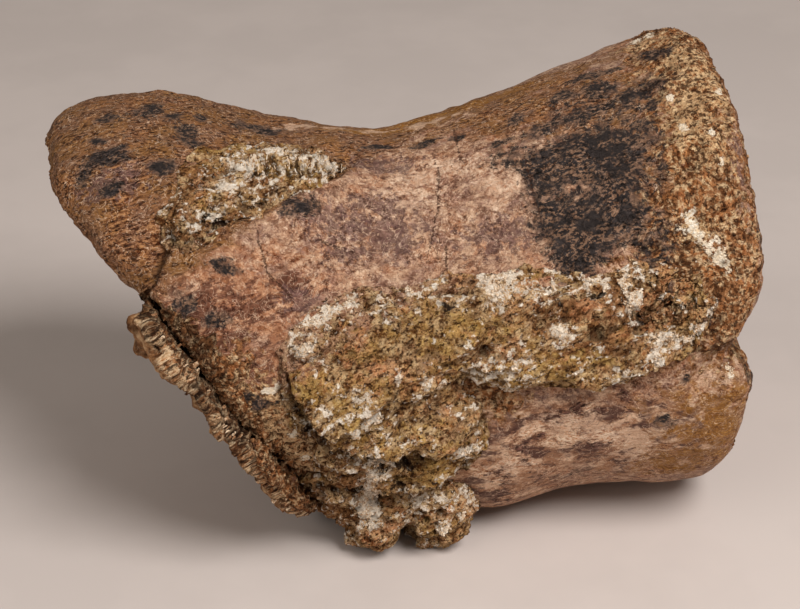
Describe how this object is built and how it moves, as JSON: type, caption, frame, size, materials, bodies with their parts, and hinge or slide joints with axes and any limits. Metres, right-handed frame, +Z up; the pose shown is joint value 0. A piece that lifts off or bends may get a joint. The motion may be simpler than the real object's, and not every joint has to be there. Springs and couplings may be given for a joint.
{
  "type": "fossil theropod tail vertebra",
  "caption": "Broken dinosaur tail vertebra lying on its side: a waisted spool of bone with one flared end, one worn end cut by a slanting break, and rock matrix where the neural arch was.",
  "frame": {"origin": "on the floor, under the middle of the whole piece's box", "axes": "+Z up, +X along the spool from the worn end towards the whole articular end, -Y towards the side where the neural arch was"},
  "size_m": [0.1222, 0.0848, 0.0858],
  "materials": {
    "bone": "mineralised fossil bone, brown with dark stains, dull with a slight sheen",
    "fibrous_bone": "broken fibrous bone and calcite, rough",
    "matrix": "sandy rock matrix with white calcite, rough and granular"
  },
  "bodies": {
    "root": {"centrum": "bone", "worn_end": "bone", "whole_end": "bone", "break_plate": "fibrous_bone", "arch_matrix": "matrix", "process_stump": "matrix", "pocket_matrix": "matrix"}
  },
  "joints": []
}
